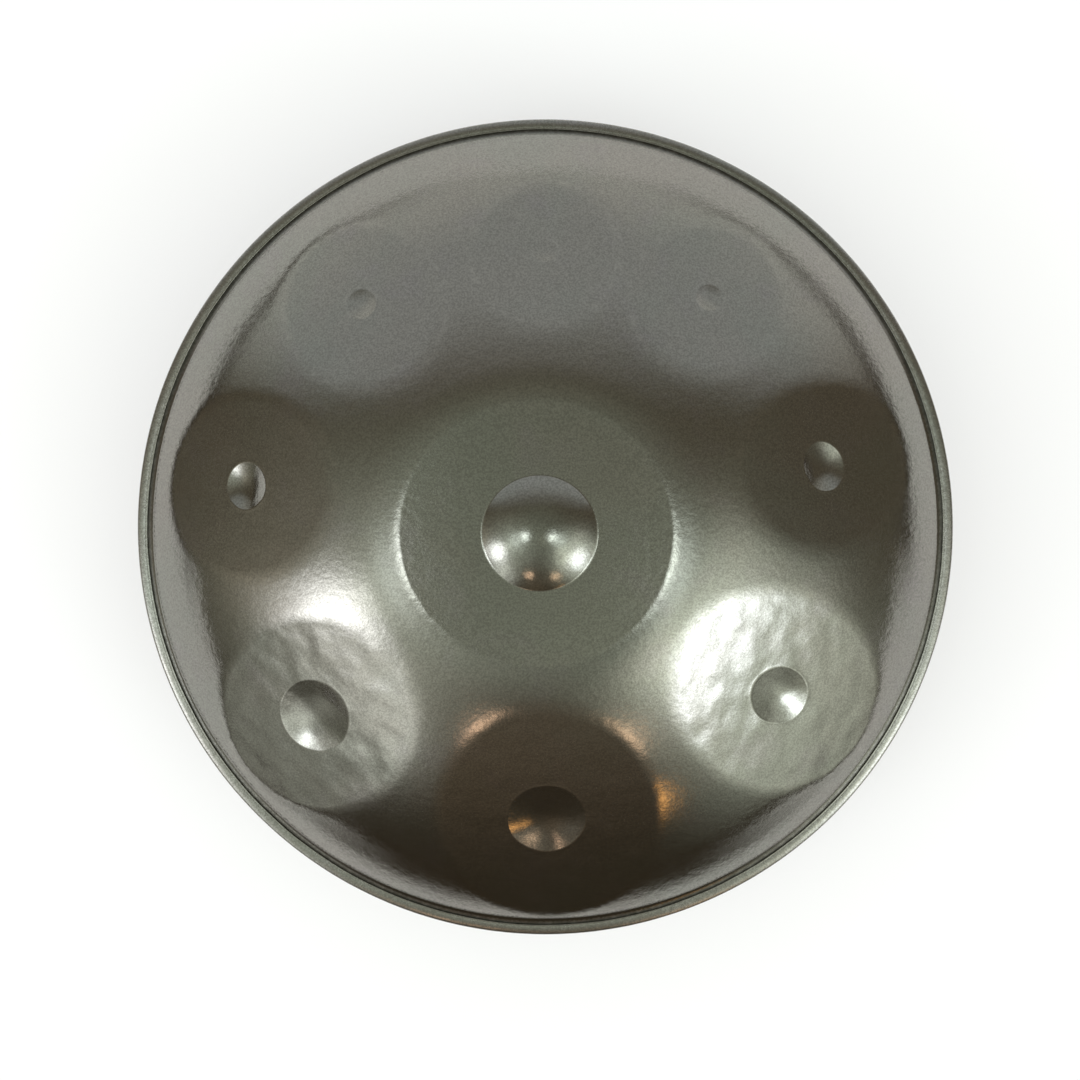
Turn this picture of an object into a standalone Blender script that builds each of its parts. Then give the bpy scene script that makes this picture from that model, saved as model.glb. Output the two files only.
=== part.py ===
"""Handpan: a hollow steel percussion instrument of two drawn half-shells.

The two shells meet at flat flanges.  A ring of adhesive joins the flanges and a
folded steel band grips both of them all the way round.  The upper shell carries
a raised centre dome (the ding) in a flat centre field and eight flattened tone
fields, each with a hammered hollow.  The lower shell has a round port whose lip
is turned up into the body, and stands on the flat land round that lip.

Frame: origin on the pan's axis in the plane it stands on, +Z up through the
ding, -Y towards the player (the lowest tone field), +X to the player's right.
"""
import bpy
from math import atan, ceil, cos, hypot, pi, radians, sin, sqrt
from mathutils import Vector
from mathutils.geometry import delaunay_2d_cdt

MM = 0.001

# ---- driving dimensions, millimetres and degrees ----------------------------
SEAM_HEIGHT = 116.0        # joint plane above the ground
SHEET = 1.2                # steel thickness of both shells
SHELL_SPHERE = 362.6       # radius of the drawn shells
WALL_RADIUS = 269.5        # where the shell wall meets its flange
WALL_FILLET = 3.0          # softness of the corner between wall and flange
FLANGE_RADIUS = 277.4      # outer edge of both flanges
FLANGE_FACE = 0.7          # seam plane to a flange's joint face
FLANGE_OUTSIDE = FLANGE_FACE + SHEET   # seam plane to its outer face

DING_FIELD_RADIUS = 92.0   # flattened centre field
DING_FIELD_CROWN = 0.9     # its slight rise at the middle
DING_RADIUS = 36.8         # raised dome at the centre
DING_EDGE_ANGLE = 33.0     # slope of that dome at its foot
DING_SPHERE = DING_RADIUS / sin(radians(DING_EDGE_ANGLE))
FIELD_BLEND = 1.3          # softness of the border of every flattened field
FIELD_CROWN = 0.0003       # crosswise crown of a tone field, 1/mm

PORT_NECK_RADIUS = 54.5    # outer face of the turned-up port lip
PORT_NECK_HEIGHT = 32.0
LAND_INNER = 62.0          # flat ring that the pan stands on
LAND_OUTER = 68.0

GLUE_HALF = 0.4            # half thickness of the adhesive
GLUE_INNER = 270.4
GLUE_OUTER = 277.0

BAND_RADIUS = 279.0        # outside of the whole instrument
BAND_SHEET = 0.9           # steel of the rim band
BAND_LIP_RADIUS = 271.3    # inner edge of the band's two legs
BAND_HALF = 3.1            # half height of the band
BAND_ROUND = 2.2           # outer corner radius of its back

# Tone fields, lowest note first.  Columns: azimuth from +X, distance from the
# axis, radial and crosswise half widths seen from above; then the hollow:
# radial and crosswise half widths seen from above, how far its middle lies
# outwards and sideways of the field's, and its slope at its edge.
TONE_FIELDS = {
    "bottom":      (-88.5, 186.9, 75.5, 72.5, 23.7, 25.9, 2.9, -1.6, 21.0),
    "lower_left":  (-140.8, 191.1, 70.0, 65.6, 23.1, 23.6, 2.2, -0.3, 22.0),
    "lower_right": (-34.1, 186.8, 72.5, 65.5, 18.9, 19.3, 2.6, -1.4, 22.5),
    "left":        (171.3, 195.0, 60.5, 60.0, 14.0, 15.8, 2.0, 0.0, 17.0),
    "right":       (13.0, 188.8, 57.0, 54.5, 13.6, 16.4, 0.4, 0.0, 15.0),
    "upper_left":  (128.4, 187.8, 57.5, 53.5, 9.9, 10.4, 2.2, 0.0, 12.5),
    "upper_right": (54.3, 186.4, 52.0, 49.5, 8.7, 9.2, 1.5, 0.0, 12.0),
    "top":         (89.2, 182.0, 49.5, 48.0, 7.6, 8.0, 1.0, 0.0, 8.0),
}

# ---- mesh layout ------------------------------------------------------------
AROUND = 80                             # facets round every full-size circle
WALL_RING = 267.3                       # ring in both shells just inside the wall's foot
FLANGE_START = WALL_RADIUS + 1.6        # ring in both flanges just outside it

# Rings of the upper shell's centre: radius, point count.
DING_RINGS = ((9.5, 8), (19.0, 16), (28.5, 24), (34.5, 32))
CENTRE_FIELD_RINGS = ((53.0, 32), (70.0, 34), (83.0, 40))
DING_POINTS = 36                        # round the ding's foot
DING_FOOT_GAP = 2.5                     # from that ring to the next one out
CENTRE_BORDER_OFFSETS = (-4.0, 0.0, 4.0)
CENTRE_BORDER_POINTS = 48

# Rings of the open shell between the tone fields.
OPEN_START = DING_FIELD_RADIUS + 16.0
OPEN_END = 249.0
OPEN_PITCH = 15.0                       # between rings
OPEN_SPACING = 17.0                     # longest step along a ring, up to AROUND points
OPEN_MARGIN = 11.0                      # kept clear round each tone field
# Nearer the wall: radius, whether staggered, margin round each tone field.
OUTER_OPEN_RINGS = ((255.0, True, 6.0), (263.5, False, 2.0), (WALL_RING, True, 2.0))

# Rings of each tone field.
BORDER_OFFSET = 3.5                     # outside and inside the field's border
BORDER_SPACING = 10.0                   # sets the number of points round the border
BORDER_LIMIT = 262.0                    # outermost border points allowed
NEIGHBOUR_MARGIN = 3.0                  # kept clear round the other fields
BETWEEN_INSET = 4.0                     # border to where the rings between start
BETWEEN_PITCH = 15.0
SMALL_HOLLOW = 12.0                     # crosswise half widths that set the detail
MEDIUM_HOLLOW = 20.0
HOLLOW_SURROUND_MIN = 1.2               # gap to the ring round the hollow
HOLLOW_SURROUND_SHARE = 0.08            # or this share of the half width
HOLLOW_OUTER_SHARE = 0.72               # rings inside the hollow
HOLLOW_INNER_SHARE = 0.38

# Radii of the lower shell's profile between its wall and its standing land.
LOWER_BOWL_RADII = (WALL_RING, 260.0, 244.0, 222.0, 194.0, 162.0, 126.0, 92.0, 76.0)


# ---- surfaces ---------------------------------------------------------------
def smooth_min(a, b, blend):
    overlap = max(blend - abs(a - b), 0.0) / blend
    return min(a, b) - overlap * overlap * blend / 4


def smooth_max(a, b, blend):
    return -smooth_min(-a, -b, blend)


def dome_height(sphere, rim, radius):
    """Height at a radius of a spherical dome above its rim."""
    return sqrt(sphere ** 2 - radius ** 2) - sqrt(sphere ** 2 - rim ** 2)


def cap_height(radius):
    """Height of the drawn shell above its own flange."""
    return dome_height(SHELL_SPHERE, WALL_RADIUS, radius)


def ring(radius, count, staggered=False):
    """Points round the origin, turned by half a step if staggered."""
    turn = 0.5 if staggered else 0.0
    angles = [2 * pi * (i + turn) / count for i in range(count)]
    return [(radius * cos(angle), radius * sin(angle)) for angle in angles]


class ToneField:
    """A flattened patch whose border lies on the shell, with a hollow at its middle.

    Its own coordinates run outwards and sideways from its centre.
    """

    def __init__(self, azimuth, distance, radial, cross,
                 hollow_radial, hollow_cross, hollow_out, hollow_side, edge_angle):
        self.cos = cos(radians(azimuth))
        self.sin = sin(radians(azimuth))
        self.distance = distance
        self.radial = radial
        self.cross = cross
        self.size = (radial + cross) / 2

        # the surface meets the shell at both ends and both sides of the border
        inner = cap_height(distance - radial)
        outer = cap_height(distance + radial)
        self.level = cap_height(hypot(distance, cross)) + FIELD_CROWN * cross * cross
        self.slope = (outer - inner) / (2 * radial)
        self.bend = ((inner + outer) / 2 - self.level) / radial ** 2

        self.hollow_cross = hollow_cross
        self.hollow_stretch = hollow_radial / hollow_cross
        self.hollow_out = hollow_out
        self.hollow_side = hollow_side
        self.hollow_sphere = hollow_cross / sin(radians(edge_angle))
        self.tilt_cosine = cos(atan(self.slope))

    def local(self, x, y):
        return x * self.cos + y * self.sin - self.distance, y * self.cos - x * self.sin

    def world(self, out, side):
        out += self.distance
        return out * self.cos - side * self.sin, out * self.sin + side * self.cos

    def covers(self, point, margin):
        """Whether a plan point lies within the border widened by a margin."""
        out, side = self.local(*point)
        return hypot(out / (self.radial + margin), side / (self.cross + margin)) < 1.0

    def height(self, out, side):
        return (self.level + self.slope * out + self.bend * out * out
                - FIELD_CROWN * side * side)

    def hollow_depth(self, out, side):
        """Depth of the hollow, measured straight down."""
        radius = hypot((out - self.hollow_out) / self.hollow_stretch, side - self.hollow_side)
        if radius >= self.hollow_cross:
            return 0.0
        return dome_height(self.hollow_sphere, self.hollow_cross, radius) / self.tilt_cosine

    def border_ring(self, share, count, staggered=False):
        """A ring at a share of the field's half widths."""
        return [self.world(self.radial * share * x, self.cross * share * y)
                for x, y in ring(1.0, count, staggered)]

    def hollow_ring(self, half_cross, count, staggered=False):
        """A ring round the hollow's middle with this crosswise half width."""
        return [self.world(self.hollow_out + self.hollow_stretch * x, self.hollow_side + y)
                for x, y in ring(half_cross, count, staggered)]


FIELDS = [ToneField(*row) for row in TONE_FIELDS.values()]


def top_height(x, y):
    """Outer face of the upper shell, above its flange's outer face."""
    radius = hypot(x, y)
    crown = DING_FIELD_CROWN * (1 - (radius / DING_FIELD_RADIUS) ** 2)
    z = smooth_min(cap_height(radius), cap_height(DING_FIELD_RADIUS) + crown, FIELD_BLEND)
    depth = 0.0
    for field in FIELDS:
        out, side = field.local(x, y)
        z = smooth_min(z, field.height(out, side), FIELD_BLEND)
        depth = max(depth, field.hollow_depth(out, side))
    if radius < DING_RADIUS:
        z += dome_height(DING_SPHERE, DING_RADIUS, radius)
    return smooth_max(z - depth, 0.0, WALL_FILLET)


# ---- Blender helpers --------------------------------------------------------
def make_material(name, colour, roughness, metallic):
    material = bpy.data.materials.new(name)
    material.use_nodes = True
    shader = material.node_tree.nodes["Principled BSDF"]
    shader.inputs["Base Color"].default_value = (*colour, 1.0)
    shader.inputs["Roughness"].default_value = roughness
    shader.inputs["Metallic"].default_value = metallic
    material.diffuse_color = (*colour, 1.0)
    return material


def add_object(name, verts, edges, faces, material, parent):
    """Make a mesh object from vertices in millimetres."""
    mesh = bpy.data.meshes.new(name)
    mesh.from_pydata([tuple(c * MM for c in vert) for vert in verts], edges, faces)
    mesh.materials.append(material)
    mesh.validate()
    obj = bpy.data.objects.new(name, mesh)
    bpy.context.scene.collection.objects.link(obj)
    obj.parent = parent
    return obj


def add_turned(name, profile, closed, material, parent):
    """Turn a profile of (radius, height) points, drawn at +X, round the pan's axis."""
    count = len(profile)
    edges = [(i, (i + 1) % count) for i in range(count if closed else count - 1)]
    verts = [(radius, 0.0, z) for radius, z in profile]
    obj = add_object(name, verts, edges, [], material, parent)
    screw = obj.modifiers.new("turn", "SCREW")
    screw.axis = "Z"
    screw.angle = 2 * pi
    screw.steps = screw.render_steps = AROUND
    screw.use_merge_vertices = True
    screw.merge_threshold = 0.00001
    screw.use_smooth_shade = True
    return obj


def add_solidify(obj):
    """Give an open sheet, drawn as its outer face, the thickness of the steel."""
    solid = obj.modifiers.new("steel", "SOLIDIFY")
    solid.thickness = SHEET * MM
    solid.offset = -1.0
    solid.use_even_offset = True
    solid.use_quality_normals = True
    solid.use_rim = True


# ---- upper shell ------------------------------------------------------------
class Plan:
    """Plan points of the upper shell, with closed loops that the mesh must follow."""

    def __init__(self):
        self.points = []
        self.loop_edges = []

    def add(self, points):
        self.points.extend(points)

    def add_loop(self, points):
        start = len(self.points)
        count = len(points)
        self.add(points)
        self.loop_edges.extend((start + i, start + (i + 1) % count) for i in range(count))

    def add_alternating(self, rings):
        """Add (radius, count) rings, every second one staggered."""
        for i, (radius, count) in enumerate(rings):
            self.add(ring(radius, count, i % 2 == 1))


def plan_centre(plan):
    """Ding and flat centre field."""
    plan.add([(0.0, 0.0)])
    plan.add_alternating(DING_RINGS)
    plan.add_loop(ring(DING_RADIUS, DING_POINTS))
    plan.add(ring(DING_RADIUS + DING_FOOT_GAP, DING_POINTS, staggered=True))
    plan.add_alternating(CENTRE_FIELD_RINGS)
    plan.add_alternating([(DING_FIELD_RADIUS + offset, CENTRE_BORDER_POINTS)
                          for offset in CENTRE_BORDER_OFFSETS])


def clear_of(fields, points, margin):
    return [p for p in points if not any(field.covers(p, margin) for field in fields)]


def plan_open_shell(plan):
    """Shell between the tone fields, then the wall's foot and the flange."""
    radius = OPEN_START
    staggered = False
    while radius < OPEN_END:
        count = min(AROUND, ceil(2 * pi * radius / OPEN_SPACING / 4) * 4)
        plan.add(clear_of(FIELDS, ring(radius, count, staggered), OPEN_MARGIN))
        radius += OPEN_PITCH
        staggered = not staggered
    for radius, staggered, margin in OUTER_OPEN_RINGS:
        plan.add(clear_of(FIELDS, ring(radius, AROUND, staggered), margin))
    for radius in (WALL_RADIUS, FLANGE_START, FLANGE_RADIUS):
        plan.add_loop(ring(radius, AROUND))


def plan_tone_field(plan, field):
    """Rings from the field's border in to the middle of its hollow."""
    size = field.size
    border_count = round(size / BORDER_SPACING) * 4 + 4

    # the outermost ring gives way where fields crowd each other or the wall
    others = [other for other in FIELDS if other is not field]
    outside = field.border_ring(1.0 + BORDER_OFFSET / size, border_count)
    outside = [p for p in outside if hypot(*p) < BORDER_LIMIT]
    plan.add(clear_of(others, outside, NEIGHBOUR_MARGIN))
    plan.add(field.border_ring(1.0 - BORDER_OFFSET / size, border_count, staggered=True))

    hollow = field.hollow_cross
    if hollow < SMALL_HOLLOW:
        hollow_count = 12
    elif hollow < MEDIUM_HOLLOW:
        hollow_count = 16
    else:
        hollow_count = 24

    # rings between, whose point counts run evenly from the hollow's to the border's
    gap = size - BETWEEN_INSET - hollow
    between = max(1, int(gap / BETWEEN_PITCH))
    for k in range(1, between + 1):
        share = (hollow + gap * k / (between + 1)) / size
        count = hollow_count + (border_count - hollow_count) * k / (between + 1)
        plan.add(field.border_ring(share, round(count / 2) * 2, k % 2 == 1))

    surround = hollow + max(HOLLOW_SURROUND_MIN, HOLLOW_SURROUND_SHARE * hollow)
    plan.add(field.hollow_ring(surround, hollow_count, staggered=True))
    plan.add_loop(field.hollow_ring(hollow, hollow_count))
    plan.add(field.hollow_ring(hollow * HOLLOW_OUTER_SHARE, hollow_count, staggered=True))
    if hollow > SMALL_HOLLOW:
        plan.add(field.hollow_ring(hollow * HOLLOW_INNER_SHARE, hollow_count // 2))
    plan.add([field.world(field.hollow_out, field.hollow_side)])


def build_upper_shell(material, parent):
    """Triangulate the plan, then lift each point to the shell's outer face."""
    plan = Plan()
    plan_centre(plan)
    plan_open_shell(plan)
    for field in FIELDS:
        plan_tone_field(plan, field)
    flat, _, faces, *_ = delaunay_2d_cdt(
        [Vector(p) for p in plan.points], plan.loop_edges, [], 0, 1e-6)
    base = SEAM_HEIGHT + FLANGE_OUTSIDE
    verts = [(x, y, base + top_height(x, y)) for x, y in flat]
    obj = add_object("top_shell", verts, [], [tuple(f) for f in faces], material, parent)
    add_solidify(obj)
    obj.data.shade_smooth()
    obj.data.set_sharp_from_angle(angle=radians(32))


# ---- turned pieces ----------------------------------------------------------
def quarter_arc(centre_radius, centre_z, radius, steps):
    """Arc from above its centre to outside it; a negative radius: from below to inside."""
    turns = [radians(90.0 * step / steps) for step in range(steps + 1)]
    return [(centre_radius + radius * sin(turn), centre_z + radius * cos(turn))
            for turn in turns]


def mirrored(profile):
    """The profile reflected in the seam plane and run backwards."""
    return [(radius, -z) for radius, z in reversed(profile)]


def build_lower_shell(material, parent):
    """Outer face from the flange in to the port's lip, then thickened."""
    base = SEAM_HEIGHT - FLANGE_OUTSIDE
    radii = (FLANGE_RADIUS, FLANGE_START, WALL_RADIUS) + LOWER_BOWL_RADII
    profile = [(radius, base - smooth_max(cap_height(radius), 0.0, WALL_FILLET))
               for radius in radii]
    profile.append((LAND_OUTER, 0.0))
    lip_round = LAND_INNER - PORT_NECK_RADIUS
    profile += quarter_arc(LAND_INNER, lip_round, -lip_round, 3)
    profile.append((PORT_NECK_RADIUS, PORT_NECK_HEIGHT))
    add_solidify(add_turned("bottom_shell", profile, False, material, parent))


def build_seam_ring(name, profile, material, parent):
    """Turn a closed profile whose heights are measured from the seam plane."""
    raised = [(radius, SEAM_HEIGHT + z) for radius, z in profile]
    add_turned(name, raised, True, material, parent)


def adhesive_profile():
    upper = [(GLUE_INNER, GLUE_HALF), (GLUE_OUTER, GLUE_HALF)]
    return upper + mirrored(upper)


def band_profile():
    """U-shaped rim band: two legs over the flanges and a rounded back outside them."""
    half_sheet = BAND_SHEET / 2
    # softened lip corner, in half sheets: outwards from the lip, below the leg's top
    lip_corner = ((0.0, 1.5), (0.25, 0.35), (1.0, 0.0))
    outside = [(BAND_LIP_RADIUS + half_sheet * out, BAND_HALF - half_sheet * down)
               for out, down in lip_corner]
    outside += quarter_arc(BAND_RADIUS - BAND_ROUND, BAND_HALF - BAND_ROUND, BAND_ROUND, 3)

    inner_round = BAND_ROUND - BAND_SHEET
    half_inside = BAND_HALF - BAND_SHEET
    back_inside = BAND_RADIUS - BAND_SHEET
    inside = quarter_arc(back_inside - inner_round, half_inside - inner_round, inner_round, 2)
    inside.reverse()
    inside.append((BAND_LIP_RADIUS + half_sheet * 0.5, half_inside))
    return outside + mirrored(outside) + mirrored(inside) + inside


# ---- build ------------------------------------------------------------------
for item in list(bpy.data.objects):
    bpy.data.objects.remove(item, do_unlink=True)

steel_top = make_material(
    "nitrided_steel_top", colour=(0.235, 0.228, 0.200), roughness=0.24, metallic=1.0)
steel_bottom = make_material(
    "nitrided_steel_bottom", colour=(0.215, 0.208, 0.186), roughness=0.30, metallic=1.0)
steel_band = make_material(
    "rim_band_steel", colour=(0.255, 0.250, 0.225), roughness=0.30, metallic=1.0)
adhesive = make_material(
    "seam_adhesive", colour=(0.035, 0.034, 0.032), roughness=0.55, metallic=0.0)

handpan = bpy.data.objects.new("handpan", None)
bpy.context.scene.collection.objects.link(handpan)

build_upper_shell(steel_top, handpan)
build_lower_shell(steel_bottom, handpan)
build_seam_ring("rim_adhesive", adhesive_profile(), adhesive, handpan)
build_seam_ring("rim_band", band_profile(), steel_band, handpan)
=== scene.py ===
"""A handpan: two drawn steel shells glued at a seam and closed by a folded rim band.

It lies flat with its axis on z and its lower land on z = 0; +x is right and +y is away
from the front.  Shapes are worked out in millimetres, lights and camera in metres.
"""
from math import atan2, cos, hypot, pi, radians, sin, sqrt, tan

import bpy
import numpy as np
from mathutils import Matrix, Vector
from mathutils.geometry import delaunay_2d_cdt


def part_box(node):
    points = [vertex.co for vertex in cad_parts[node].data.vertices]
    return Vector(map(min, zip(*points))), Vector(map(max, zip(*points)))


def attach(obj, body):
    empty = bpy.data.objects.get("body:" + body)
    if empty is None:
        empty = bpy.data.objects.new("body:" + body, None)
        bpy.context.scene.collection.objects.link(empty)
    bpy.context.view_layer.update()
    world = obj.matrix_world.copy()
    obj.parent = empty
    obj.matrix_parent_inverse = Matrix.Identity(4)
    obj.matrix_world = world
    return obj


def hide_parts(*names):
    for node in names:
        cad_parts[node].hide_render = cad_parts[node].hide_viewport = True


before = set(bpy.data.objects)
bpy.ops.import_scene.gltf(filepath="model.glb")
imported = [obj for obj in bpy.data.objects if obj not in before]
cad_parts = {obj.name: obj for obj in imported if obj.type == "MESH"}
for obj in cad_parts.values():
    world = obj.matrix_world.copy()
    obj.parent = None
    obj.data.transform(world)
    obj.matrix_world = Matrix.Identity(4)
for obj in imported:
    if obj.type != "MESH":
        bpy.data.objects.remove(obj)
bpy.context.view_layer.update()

MM = 0.001

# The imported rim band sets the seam's height and the band's size.
band_low, band_high = (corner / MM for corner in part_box("rim_band"))
SEAM_HEIGHT = (band_low.z + band_high.z) / 2
BAND_RADIUS = band_high.x
BAND_HALF = (band_high.z - band_low.z) / 2

# both shells
SHEET = 1.2                    # thickness of the steel
FLANGE_RADIUS = 277.4
FLANGE_FACE = 0.7              # from the seam to each flange
WALL_RADIUS = 269.5            # where the dome meets the flange
WALL_FILLET = 3.0
SHELL_SPHERE = 362.6           # radius of the dome
TOP_FACE = SEAM_HEIGHT + FLANGE_FACE + SHEET
BOTTOM_FACE = SEAM_HEIGHT - FLANGE_FACE - SHEET

# the ding, a raised cap on the axis, and the flattened field round it
DING_FIELD_RADIUS = 92.0
DING_FIELD_CROWN = 0.9
DING_FIELD_SAG = 1.1           # how far the field's left edge drops
DING_RADIUS = 36.8
DING_EDGE_ANGLE = 33.0         # degrees
DING_SPHERE = DING_RADIUS / sin(radians(DING_EDGE_ANGLE))

# widths of the worked edges, and how crisp the pressed ones are (0 is tightest)
DING_FIELD_BLEND, DING_FIELD_CRISP = 5.0, 0.35
FIELD_BLEND, FIELD_CRISP = 1.30, 0.5
DING_FOOT = 0.30
DIMPLE_BLEND = 0.12

# tone fields
FIELD_CROWN = 0.0003           # crosswise curvature
FIELD_REACH = 1.25             # share of a field's size past which it has no effect
STROKE_SKEW = 0.22             # slant of the hammer strokes

# lower shell's port neck, the flat land round it and the bowl's settling on to the land
PORT_NECK_RADIUS = 54.5
PORT_NECK_HEIGHT = 32.0
LAND_INNER, LAND_OUTER = 62.0, 68.0
LAND_MIDDLE = (LAND_INNER + LAND_OUTER) / 2
SETTLE = 14.0
SETTLE_EDGE = LAND_OUTER + SETTLE

# folded rim band
BAND_SHEET = 0.5
BAND_LIP_RADIUS = 271.7
BAND_LIP_ROLL = 0.42           # radius of the rolled lip
BAND_LEG_END = BAND_RADIUS - 1.55
BAND_TURN = 52                 # degrees of the leg's turn into the back

# adhesive bead, drawn as two rounded ends
BEAD_INNER, BEAD_OUTER = 271.0, 276.6
BEAD_HALF = 0.4

# azimuth in degrees, distance from the axis, radial and crosswise half widths seen
# from above; the hollow's radial and crosswise half widths, how far its middle lies
# outwards and sideways, slope of its flank in degrees, share of its radius taken by
# the rounded bottom; depth of the hammer marks, height of the lip round the hollow
TONE_FIELDS = (
    (-88.5, 186.9, 75.5, 72.5, 23.7, 25.9, 2.9, -1.6, 13.5, 0.80, 0.100, 0.03),   # front
    (-140.8, 191.1, 70.0, 65.6, 24.0, 24.4, 2.2, -0.3, 12.4, 0.88, 0.380, 0.03),  # front left
    (-34.1, 186.8, 72.5, 65.5, 18.9, 19.3, 2.6, -1.4, 13.3, 0.75, 0.380, 0.10),   # front right
    (171.3, 195.0, 60.5, 60.0, 14.0, 15.8, 2.0, 0.0, 17.0, 1.00, 0.080, 0.05),    # left
    (13.0, 188.8, 57.0, 54.5, 13.6, 16.4, 0.4, 0.0, 15.0, 1.00, 0.080, 0.04),     # right
    (128.4, 187.8, 57.5, 53.5, 9.9, 10.4, 2.2, 0.0, 11.0, 1.00, 0.040, 0.03),     # back left
    (54.3, 186.4, 52.0, 49.5, 8.7, 9.2, 1.5, 0.0, 10.5, 1.00, 0.040, 0.03),       # back right
    (89.2, 182.0, 49.5, 48.0, 7.6, 8.0, 1.0, 0.0, 7.0, 1.00, 0.040, 0.02),        # back
)


# ---- smooth functions ----------------------------------------------------------------

def smooth_min(first, second, blend):
    near = np.maximum(blend - np.abs(first - second), 0.0) / blend
    return np.minimum(first, second) - near * near * blend / 4


def smooth_max(first, second, blend):
    return -smooth_min(-first, -second, blend)


def press(dome, face, blend, crisp):
    """The lower of two faces, with an edge that is tight on the pressed face's side."""
    inside, whole = crisp * blend, (1 + crisp) * blend
    above = dome - face
    share = np.clip((inside - above) / whole, 0.0, 1.0)
    eased = -whole / (crisp + 1) * share ** (crisp + 1)
    return face + np.where(above < -blend, above, eased)


def smooth_step(low, high, value):
    share = np.clip((value - low) / (high - low), 0.0, 1.0)
    return share * share * (3 - 2 * share)


def bell(offset, width):
    return np.exp(-(offset / width) ** 2)


class Noise:
    """Smooth gradient noise in the plane, between about -0.7 and 0.7."""

    def __init__(self, seed, cells=64):
        self.cells = cells
        self.angle = np.random.default_rng(seed).uniform(0, 2 * pi, (cells, cells))

    def __call__(self, x, y, size=1.0, shift=(0.0, 0.0)):
        x, y = x / size + shift[0], y / size + shift[1]
        cell_x, cell_y = np.floor(x).astype(int), np.floor(y).astype(int)
        x, y = x - cell_x, y - cell_y
        ease_x, ease_y = (s ** 3 * (s * (s * 6 - 15) + 10) for s in (x, y))

        def corner(dx, dy):
            angle = self.angle[(cell_x + dx) % self.cells, (cell_y + dy) % self.cells]
            return np.cos(angle) * (x - dx) + np.sin(angle) * (y - dy)

        low = corner(0, 0) * (1 - ease_x) + corner(1, 0) * ease_x
        high = corner(0, 1) * (1 - ease_x) + corner(1, 1) * ease_x
        return low * (1 - ease_y) + high * ease_y


strokes, facets, waves, wobble = Noise(11), Noise(23), Noise(37), Noise(51)

# layers of hammer marks: noise, share of the depth, outward and crosswise lengths,
# outward and crosswise offsets as multiples of the field's seed
HAMMER_LAYERS = (
    (strokes, 1.00, 12.0, 17.0, 1, 2),
    (strokes, 0.80, 20.0, 23.0, 3, 1),
    (facets, 0.18, 6.0, 8.5, 1, 0),
)


# ---- shape of the upper shell --------------------------------------------------------

def sphere_cap(radius, sphere, rim):
    """Height of a sphere above the level at which its radius is the rim's."""
    return np.sqrt(sphere ** 2 - radius * radius) - sqrt(sphere ** 2 - rim ** 2)


def cap_height(radius):
    return sphere_cap(radius, SHELL_SPHERE, WALL_RADIUS)


def circle(radius, spacing=None, count=None, turn=0.0):
    count = count or max(6, int(round(2 * pi * radius / spacing)))
    angle = 2 * pi * (np.arange(count) + turn) / count
    return np.stack([radius * np.cos(angle), radius * np.sin(angle)], 1)


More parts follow.
